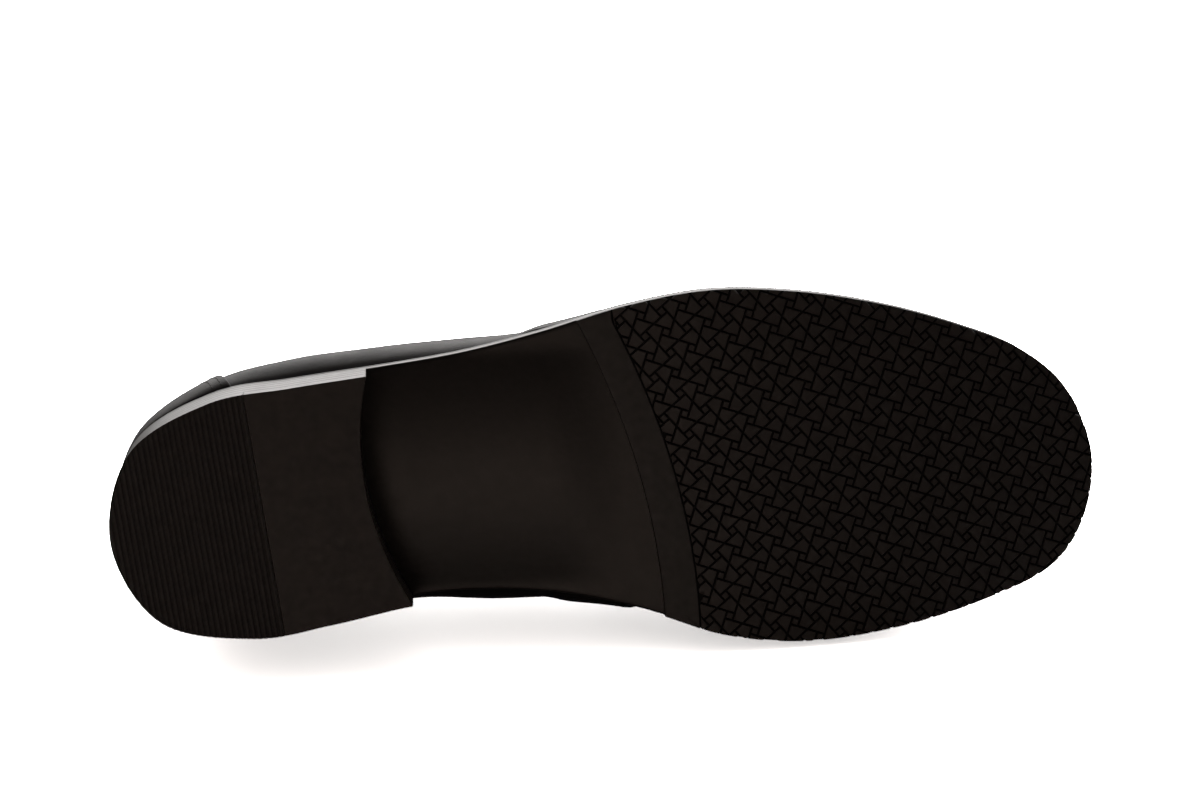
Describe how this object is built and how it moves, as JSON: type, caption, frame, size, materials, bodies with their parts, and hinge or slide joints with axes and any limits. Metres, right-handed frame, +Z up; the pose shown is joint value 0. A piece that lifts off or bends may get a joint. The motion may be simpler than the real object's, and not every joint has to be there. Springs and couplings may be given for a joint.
{
  "type": "bowling shoe",
  "caption": "Right-foot black leather lace-up bowling shoe with a welted sole, a low block heel with a ribbed rubber tip and a fine-tread forefoot pad.",
  "frame": {"origin": "bottom centre of the shoe's box, on the ground the heel and tread stand on", "axes": "+X from heel to toe, +Y towards the inner (medial) side of the foot, +Z up"},
  "size_m": [0.3056, 0.1104, 0.1189],
  "materials": {
    "heel_rubber": "fine ribbed black rubber",
    "top_piece_rubber": "smooth black rubber, slightly brown",
    "sole_composition": "black dyed and polished sole leather",
    "tread_rubber": "matt black rubber with a fine pinwheel block tread",
    "upper_leather": "black smooth leather, lightly polished",
    "lining_leather": "undyed natural lining leather",
    "leather_board": "brown leather board",
    "cork": "granulated cork",
    "steel": "plain steel",
    "eyelet_metal": "black lacquered eyelets",
    "lace_cotton": "waxed black round lace"
  },
  "bodies": {
    "root": {"heel_rubber_tip": "heel_rubber", "heel_top_piece": "top_piece_rubber", "heel_lift_1": "sole_composition", "heel_lift_2": "sole_composition", "heel_lift_3": "sole_composition", "heel_nail_1": "steel", "heel_nail_2": "steel", "heel_nail_3": "steel", "heel_nail_4": "steel", "heel_nail_5": "steel", "outsole": "sole_composition", "forefoot_tread": "tread_rubber", "welt": "sole_composition", "cork_filler": "cork", "shank_spring": "steel", "insole": "leather_board", "sock_liner": "lining_leather", "quarter_lateral": "upper_leather", "quarter_lining_lateral": "lining_leather", "quarter_medial": "upper_leather", "quarter_lining_medial": "lining_leather", "vamp": "upper_leather", "vamp_lining": "lining_leather", "toe_puff": "leather_board", "heel_stiffener": "leather_board", "counter_patch": "upper_leather", "topline_binding": "upper_leather", "tongue": "upper_leather", "tongue_lining": "lining_leather", "eyelet_lateral_1": "eyelet_metal", "eyelet_lateral_2": "eyelet_metal", "eyelet_lateral_3": "eyelet_metal", "eyelet_lateral_4": "eyelet_metal", "eyelet_lateral_5": "eyelet_metal", "eyelet_medial_1": "eyelet_metal", "eyelet_medial_2": "eyelet_metal", "eyelet_medial_3": "eyelet_metal", "eyelet_medial_4": "eyelet_metal", "eyelet_medial_5": "eyelet_metal", "lace": "lace_cotton"}
  },
  "joints": []
}
